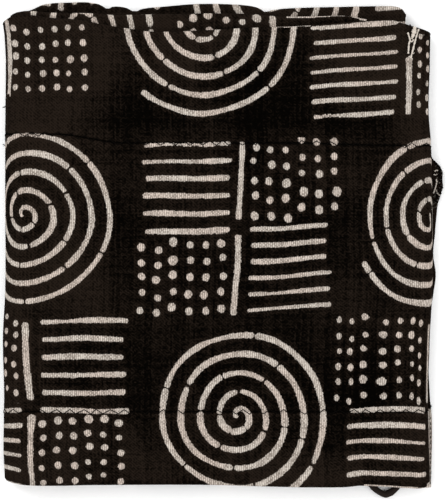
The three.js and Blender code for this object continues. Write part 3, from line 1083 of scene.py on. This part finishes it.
for name, place in strip_rows.items():
    strip = cloth_grid(name + "_cloth", place)
    strip.data.materials.append(cloth_finish)
    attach(strip, "root")
    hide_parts(name)

# The seam threads. Dark cotton thread, overcast by hand in an open zigzag along the two seams,
# from the wrap at the left across the face to the fold at the right.
THREAD_RADIUS = 0.34
THREAD_SIDES = 6
THREAD_DARK = (0.0022, 0.0016, 0.0012, 1)
THREAD_ROUGHNESS = 0.9
THREAD_SHINE = 0.02
THREAD_SMOOTH_ANGLE = 70
STITCH_STEP = 5.4
STITCH_STEP_SPREAD = (0.8, 1.25)
STITCH_REACH = 1.8
STITCH_REACH_SPREAD = (0.8, 1.2)
STITCH_BOW = 0.55
STITCH_SUNK = 0.05
STITCH_POINTS = 6
WRAP_STITCHED = 0.8
FOLD_UNSTITCHED = 4
CHANCE_SEED = 11
chance = np.random.default_rng(CHANCE_SEED)


def tube(points, radii, ups, sides):
    along = np.gradient(points, axis=0)
    along = along / np.linalg.norm(along, axis=1, keepdims=True)
    across = np.cross(along, ups)
    across = across / np.linalg.norm(across, axis=1, keepdims=True)
    up = np.cross(across, along)
    angle = np.linspace(0, 2 * math.pi, sides, endpoint=False)[None, :, None]
    ring = across[:, None] * np.cos(angle) + up[:, None] * np.sin(angle)
    return points[:, None] + ring * np.asarray(radii)[:, None, None]


def tubes_piece(name, rings):
    corners, faces = [], []
    for ring in rings:
        rows, sides = ring.shape[:2]
        base = len(corners)
        corners.extend(map(tuple, ring.reshape(-1, 3) * MM))
        for i in range(rows - 1):
            for j in range(sides):
                k = (j + 1) % sides
                low, high = base + i * sides, base + (i + 1) * sides
                faces.append((low + j, low + k, high + k, high + j))
        faces.append(tuple(base + j for j in reversed(range(sides))))
        faces.append(tuple(base + (rows - 1) * sides + j for j in range(sides)))
    mesh = bpy.data.meshes.new(name)
    mesh.from_pydata(corners, [], faces)
    mesh.update()
    piece = bpy.data.objects.new(name, mesh)
    bpy.context.collection.objects.link(piece)
    bpy.ops.object.select_all(action="DESELECT")
    piece.select_set(True)
    bpy.context.view_layer.objects.active = piece
    bpy.ops.object.mode_set(mode="EDIT")
    bpy.ops.mesh.select_all(action="SELECT")
    bpy.ops.mesh.normals_make_consistent(inside=False)
    bpy.ops.object.mode_set(mode="OBJECT")
    bpy.ops.object.shade_smooth_by_angle(angle=math.radians(THREAD_SMOOTH_ANGLE))
    return piece


def plain_finish(name, colour):
    finish = bpy.data.materials.new(name)
    finish.use_nodes = True
    shader = finish.node_tree.nodes["Principled BSDF"]
    shader.inputs["Base Color"].default_value = colour
    shader.inputs["Roughness"].default_value = THREAD_ROUGHNESS
    shader.inputs["Specular IOR Level"].default_value = THREAD_SHINE
    return finish


stitch_rings = []
stitch_share = np.linspace(0, 1, STITCH_POINTS)
for seam, drift_share in ((SEAM_PLACE, 0), (SEAM_PLACE + STRIP_WIDTH, 1)):
    s_stitch = LEFT_CENTRE - WRAP_STITCHED * OUTER_ARC
    way = 1
    while s_stitch < SECOND_START - FOLD_UNSTITCHED:
        step = STITCH_STEP * chance.uniform(*STITCH_STEP_SPREAD)
        reach = STITCH_REACH * chance.uniform(*STITCH_REACH_SPREAD)
        s = s_stitch + step * stitch_share
        place = seam + drift_share * seam_drift(s) + way * reach * (2 * stitch_share - 1)
        lift = CLOTH_THICKNESS / 2 + STITCH_BOW * np.sin(math.pi * stitch_share) - STITCH_SUNK
        points = lay(s, place, lift)
        ups = lay(s, place, lift + 1) - points
        stitch_rings.append(tube(points, THREAD_RADIUS + 0 * s, ups, THREAD_SIDES))
        s_stitch += step
        way = -way
seam_threads = tubes_piece("seam_threads", stitch_rings)
dark_thread = plain_finish("dark_cotton_thread", THREAD_DARK)
seam_threads.data.materials.append(dark_thread)
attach(seam_threads, "root")

# The loose cream threads. Undyed cotton thread shows at the bunched corner of the hem and in the
# pleat at the upper right, where a few ends have worked loose and lie on the cloth.
CREAM_THREAD = (0.48, 0.43, 0.375, 1)
# Each line: radius, then its x and y places on the cloth
LOOSE_THREADS = [
    (
        0.68,
        [(148.2, 173.8), (149.4, 170.2), (150.2, 167.8), (149.1, 164.6), (148.9, 160.6), (148.6, 156.9)],
    ),
    (
        0.72,
        [(157.0, 176.4), (155.8, 173.0), (154.6, 169.0), (153.5, 164.6), (152.4, 160.2), (150.6, 153.4)],
    ),
    (0.55, [(149.8, 168.6), (150.8, 166.4), (152.1, 166.8), (152.7, 168.2)]),
    (0.45, [(148.9, 154.8), (150.8, 153.6), (152.1, 152.4)]),
    (0.3, [(152.6, 161.8), (153.7, 160.4)]),
    (0.3, [(152.1, 156.8), (153.5, 157.6)]),
    (0.5, [(170.3, 63.0), (171.6, 63.9), (173.0, 63.5)]),
    (0.5, [(169.6, 60.5), (171.2, 59.9), (172.4, 60.8)]),
    (0.58, [(171.4, 56.6), (172.1, 54.7), (171.5, 51.8), (170.6, 48.6), (169.4, 45.4)]),
    (0.55, [(171.6, 47.8), (172.7, 45.4), (174.3, 43.3)]),
]
# The fat end of a yarn in the pleat: x, y and radius along it
YARN_END = [
    (153.9, 178.0, 1.0),
    (153.6, 175.8, 1.9),
    (152.8, 172.6, 1.7),
    (151.9, 170.0, 1.0),
    (151.4, 168.6, 0.5),
]
LOOSE_STEPS = 6
LOOSE_SIDES = 7
SLUB_SHARE = 0.3
SLUB_TURNS = (7.3, 2.1)
LOOSE_SUNK = 0.35
YARN_END_SUNK = 0.5
ABOVE_PACK = 0.1
UPWARDS = (0.0, 0.0, 1.0)


def on_top(x, y):
    graph = bpy.context.evaluated_depsgraph_get()
    hit = bpy.context.scene.ray_cast(graph, (x * MM, y * MM, ABOVE_PACK), (0, 0, -1))
    return (hit[1].z / MM) if hit[0] else 0.0


def lay_thread(places, radii, sunk):
    places = np.array(places, float)
    share = np.linspace(0, len(places) - 1, LOOSE_STEPS * (len(places) - 1) + 1)
    ends = np.arange(len(places))
    x = np.interp(share, ends, places[:, 0])
    y = np.interp(share, ends, places[:, 1])
    for line in (x, y, x, y):
        line[1:-1] = (line[:-2] + 2 * line[1:-1] + line[2:]) / 4
    slubs = np.sin(SLUB_TURNS[0] * share) * np.sin(SLUB_TURNS[1] * share + 1)
    r = np.interp(share, ends, radii) * (1 + SLUB_SHARE * slubs)
    z = np.array([on_top(a, b) for a, b in zip(x, y)]) + r * (1 - sunk)
    return tube(np.stack([x, y, z], axis=-1), r, UPWARDS, LOOSE_SIDES)


bpy.context.view_layer.update()
loose_rings = [lay_thread(line, [r] * len(line), LOOSE_SUNK) for r, line in LOOSE_THREADS]
yarn_places = [row[:2] for row in YARN_END]
yarn_radii = [row[2] for row in YARN_END]
loose_rings.append(lay_thread(yarn_places, yarn_radii, YARN_END_SUNK))
loose_threads = tubes_piece("loose_threads", loose_rings)
loose_threads.data.materials.append(plain_finish("undyed_cotton_thread", CREAM_THREAD))
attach(loose_threads, "root")

# The hem's threads and fibres. Dark cotton stitches run along the pale end of the hem at the lower
# right, dark yarns stand out of the hem's bunched corner with grey fibres among them as painted
# highlight, and a few tufts of dark fibre hang at the edges.
HEM_STITCH_X = 167.0
HEM_STITCHES = (-188.0, -134.0)
HEM_STITCH_LENGTH = (1.6, 2.8)
HEM_STITCH_GAP = (1.2, 2.6)
HEM_STITCH_STRAY = (-0.3, 0.3)
HEM_STITCH_LEAN = 0.3
HEM_STITCH_RADII = (0.3, 0.3)
HEM_STITCH_SUNK = 0.3
TUFTS = [(-174.6, 114.5), (167.0, -125.0), (165.5, -124.0), (150.2, 179.6), (-175.0, 84.0)]
TUFT_FIBRES = 7
TUFT_REACH = (0.8, 2.0)
TUFT_INSET = 1.2
TUFT_LEVEL = (0.6, 0.95)
TUFT_BOW = 0.4
TUFT_RADII = (0.22, 0.2, 0.12)
TUFT_SIDES = 5
# Yarns and fibres of the bunched corner: y from and to, then their pitch
LUMP_YARNS = (39.0, 70.0, 2.3)
LUMP_YARN_INSET = (0.8, 2.4)
LUMP_YARN_SLOPE = (0.5, 1.4)
LUMP_YARN_SIDES = (1.4, 1.2)
LUMP_YARN_ENDS = (0.6, 0.5)
LUMP_YARN_MIDDLE = (0.8, 1.15)
LUMP_YARN_SUNK = 0.45
LUMP_FIBRES = (33.0, 71.0, 1.15)
FIBRE_INSET = (0.4, 4.6)
FIBRE_SLOPE = (-0.4, 1.1)
FIBRE_INNER = (0.6, 1.6)
FIBRE_OUTER = (0.5, 1.3)
FIBRE_RISE = 0.3
FIBRE_ENDS = (0.2, 0.16)
FIBRE_MIDDLE = (0.24, 0.42)
HIGHLIGHT_FIBRE = (0.085, 0.076, 0.064, 1)


def hem_edge(y):
    return float(soft_table(BACK_END, 1, np.array([y]))[0])


hem_rings = []
fibre_rings = []
y_stitch = HEM_STITCHES[0]
while y_stitch < HEM_STITCHES[1]:
    length = chance.uniform(*HEM_STITCH_LENGTH)
    x = HEM_STITCH_X + chance.uniform(*HEM_STITCH_STRAY)
    line = [(x, y_stitch), (x + HEM_STITCH_LEAN, y_stitch + length)]
    hem_rings.append(lay_thread(line, HEM_STITCH_RADII, HEM_STITCH_SUNK))
    y_stitch += length + chance.uniform(*HEM_STITCH_GAP)
for x, y in TUFTS:
    inside = x + math.copysign(TUFT_INSET, -x)
    for fibre in range(TUFT_FIBRES):
        turn_by = chance.uniform(0, 2 * math.pi)
        reach = chance.uniform(*TUFT_REACH)
        end = (x + reach * math.cos(turn_by), y + reach * math.sin(turn_by))
        z = on_top(inside, y) * chance.uniform(*TUFT_LEVEL)
        bow = ((x + end[0]) / 2, (y + end[1]) / 2, z + TUFT_BOW)
        hem_rings.append(tube(np.array([(x, y, z), bow, (*end, z)]), TUFT_RADII, UPWARDS, TUFT_SIDES))
for y in np.arange(*LUMP_YARNS):
    x = hem_edge(y) - chance.uniform(*LUMP_YARN_INSET)
    slope = chance.uniform(*LUMP_YARN_SLOPE)
    line = [(x - LUMP_YARN_SIDES[0], y + slope), (x, y), (x + LUMP_YARN_SIDES[1], y - slope)]
    radii = [LUMP_YARN_ENDS[0], chance.uniform(*LUMP_YARN_MIDDLE), LUMP_YARN_ENDS[1]]
    hem_rings.append(lay_thread(line, radii, LUMP_YARN_SUNK))
# Painted highlight: grey fibres, lighter than the dark yarns, lie among them on the bunched corner
for y in np.arange(*LUMP_FIBRES):
    x = hem_edge(y) - chance.uniform(*FIBRE_INSET)
    slope = chance.uniform(*FIBRE_SLOPE)
    inner = (x - chance.uniform(*FIBRE_INNER), y - slope)
    outer = (x + chance.uniform(*FIBRE_OUTER), y + slope)
    radii = [FIBRE_ENDS[0], chance.uniform(*FIBRE_MIDDLE), FIBRE_ENDS[1]]
    fibre_rings.append(lay_thread([inner, (x, y + FIBRE_RISE), outer], radii, 0.0))
hem_threads = tubes_piece("hem_threads", hem_rings)
hem_threads.data.materials.append(dark_thread)
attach(hem_threads, "root")
hem_highlight_fibres = tubes_piece("hem_highlight_fibres", fibre_rings)
hem_highlight_fibres.data.materials.append(plain_finish("highlight_grey_cotton", HIGHLIGHT_FIBRE))
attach(hem_highlight_fibres, "root")

# The hanging loop. A narrow roll of dark cotton cloth, twisted a little, bent to a blunt point
# and sewn by its two ends under the fold at the lower right.
LOOP_DARK = (0.016, 0.012, 0.01, 1)
# x and y of the roll's middle, and its radius
LOOP_PATH = [
    (118.8, -187.8, 2.3),
    (121.8, -191.2, 2.5),
    (125.8, -194.4, 2.6),
    (130.8, -196.5, 2.7),
    (135.8, -194.6, 2.7),
    (139.4, -191.6, 2.6),
    (142.4, -187.8, 2.4),
]
LOOP_HEIGHT = 2.8
LOOP_POINTS = 61
LOOP_SIDES = 20
LOOP_LOBES = 2
LOOP_TWIST = 2.2
LOOP_RIDGE = 0.07
loop_share = np.linspace(0, len(LOOP_PATH) - 1, LOOP_POINTS)
loop_rows = [(key, *place) for key, place in enumerate(LOOP_PATH)]
loop_x, loop_y, loop_r = (soft_table(loop_rows, column, loop_share) for column in (1, 2, 3))
loop_points = np.stack([loop_x, loop_y, 0 * loop_x + LOOP_HEIGHT], axis=-1)
loop_rings = tube(loop_points, loop_r, UPWARDS, LOOP_SIDES)
loop_angle = np.linspace(0, 2 * math.pi, LOOP_SIDES, endpoint=False)[None, :]
loop_turn = loop_angle * LOOP_LOBES + loop_share[:, None] * LOOP_TWIST
loop_swell = (1 + LOOP_RIDGE * np.sin(loop_turn))[:, :, None]
loop_rings = loop_points[:, None] + (loop_rings - loop_points[:, None]) * loop_swell
hanging_loop = tubes_piece("hanging_loop_roll", [loop_rings])
hanging_loop.data.materials.append(plain_finish("rolled_dark_cotton", LOOP_DARK))
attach(hanging_loop, "root")
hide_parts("hanging_loop")

# The floor, the light and the camera. A wide pale matte floor lies just under the cloth, two large
# soft lamps stand at its upper left and its right in a white room, and the camera looks straight
# down on the painted face.
FLOOR_SIZE = 6
FLOOR_BELOW = 0.0004
FLOOR_PALE = (0.9, 0.9, 0.9, 1)
FLOOR_ROUGHNESS = 0.9
ROOM_WHITE = (1, 1, 1, 1)
ROOM_STRENGTH = 1.2
# Each lamp: name, place, size and power
LAMPS = [
    ("key_light", (-0.9, 0.8, 1.3), 1.0, 13),
    ("fill_light", (1.1, -0.4, 1.4), 1.2, 9),
]
CAMERA_LENS = 400
CAMERA_SENSOR = 36
CAMERA_PLACE = (0.0004, -0.0002)
CAMERA_FAR = 20
FRAME_HEIGHT = 0.4
FACE_HEIGHT = 0.0215
bpy.ops.object.select_all(action="DESELECT")
bpy.ops.mesh.primitive_plane_add(size=FLOOR_SIZE, location=(0, 0, -FLOOR_BELOW))
floor = bpy.context.object
floor.name = "floor"
floor_finish = bpy.data.materials.new("pale_floor")
floor_finish.use_nodes = True
floor_shader = floor_finish.node_tree.nodes["Principled BSDF"]
floor_shader.inputs["Base Color"].default_value = FLOOR_PALE
floor_shader.inputs["Roughness"].default_value = FLOOR_ROUGHNESS
floor.data.materials.append(floor_finish)

bpy.context.scene.view_settings.view_transform = "Standard"
world = bpy.data.worlds.new("studio")
world.use_nodes = True
world.node_tree.nodes["Background"].inputs["Color"].default_value = ROOM_WHITE
world.node_tree.nodes["Background"].inputs["Strength"].default_value = ROOM_STRENGTH
bpy.context.scene.world = world
for name, place, size, power in LAMPS:
    bpy.ops.object.select_all(action="DESELECT")
    bpy.ops.object.light_add(type="AREA", location=place)
    lamp = bpy.context.object
    lamp.name = name
    lamp.data.size = size
    lamp.data.energy = power
    tilt = math.atan2(math.hypot(place[0], place[1]), place[2])
    facing = math.atan2(place[1], place[0]) + math.pi / 2
    lamp.rotation_euler = (tilt, 0, facing)

camera_height = FACE_HEIGHT + FRAME_HEIGHT * CAMERA_LENS / CAMERA_SENSOR
bpy.ops.object.camera_add(location=(*CAMERA_PLACE, camera_height), rotation=(0, 0, 0))
camera = bpy.context.object
camera.data.lens = CAMERA_LENS
camera.data.clip_end = CAMERA_FAR
bpy.context.scene.camera = camera
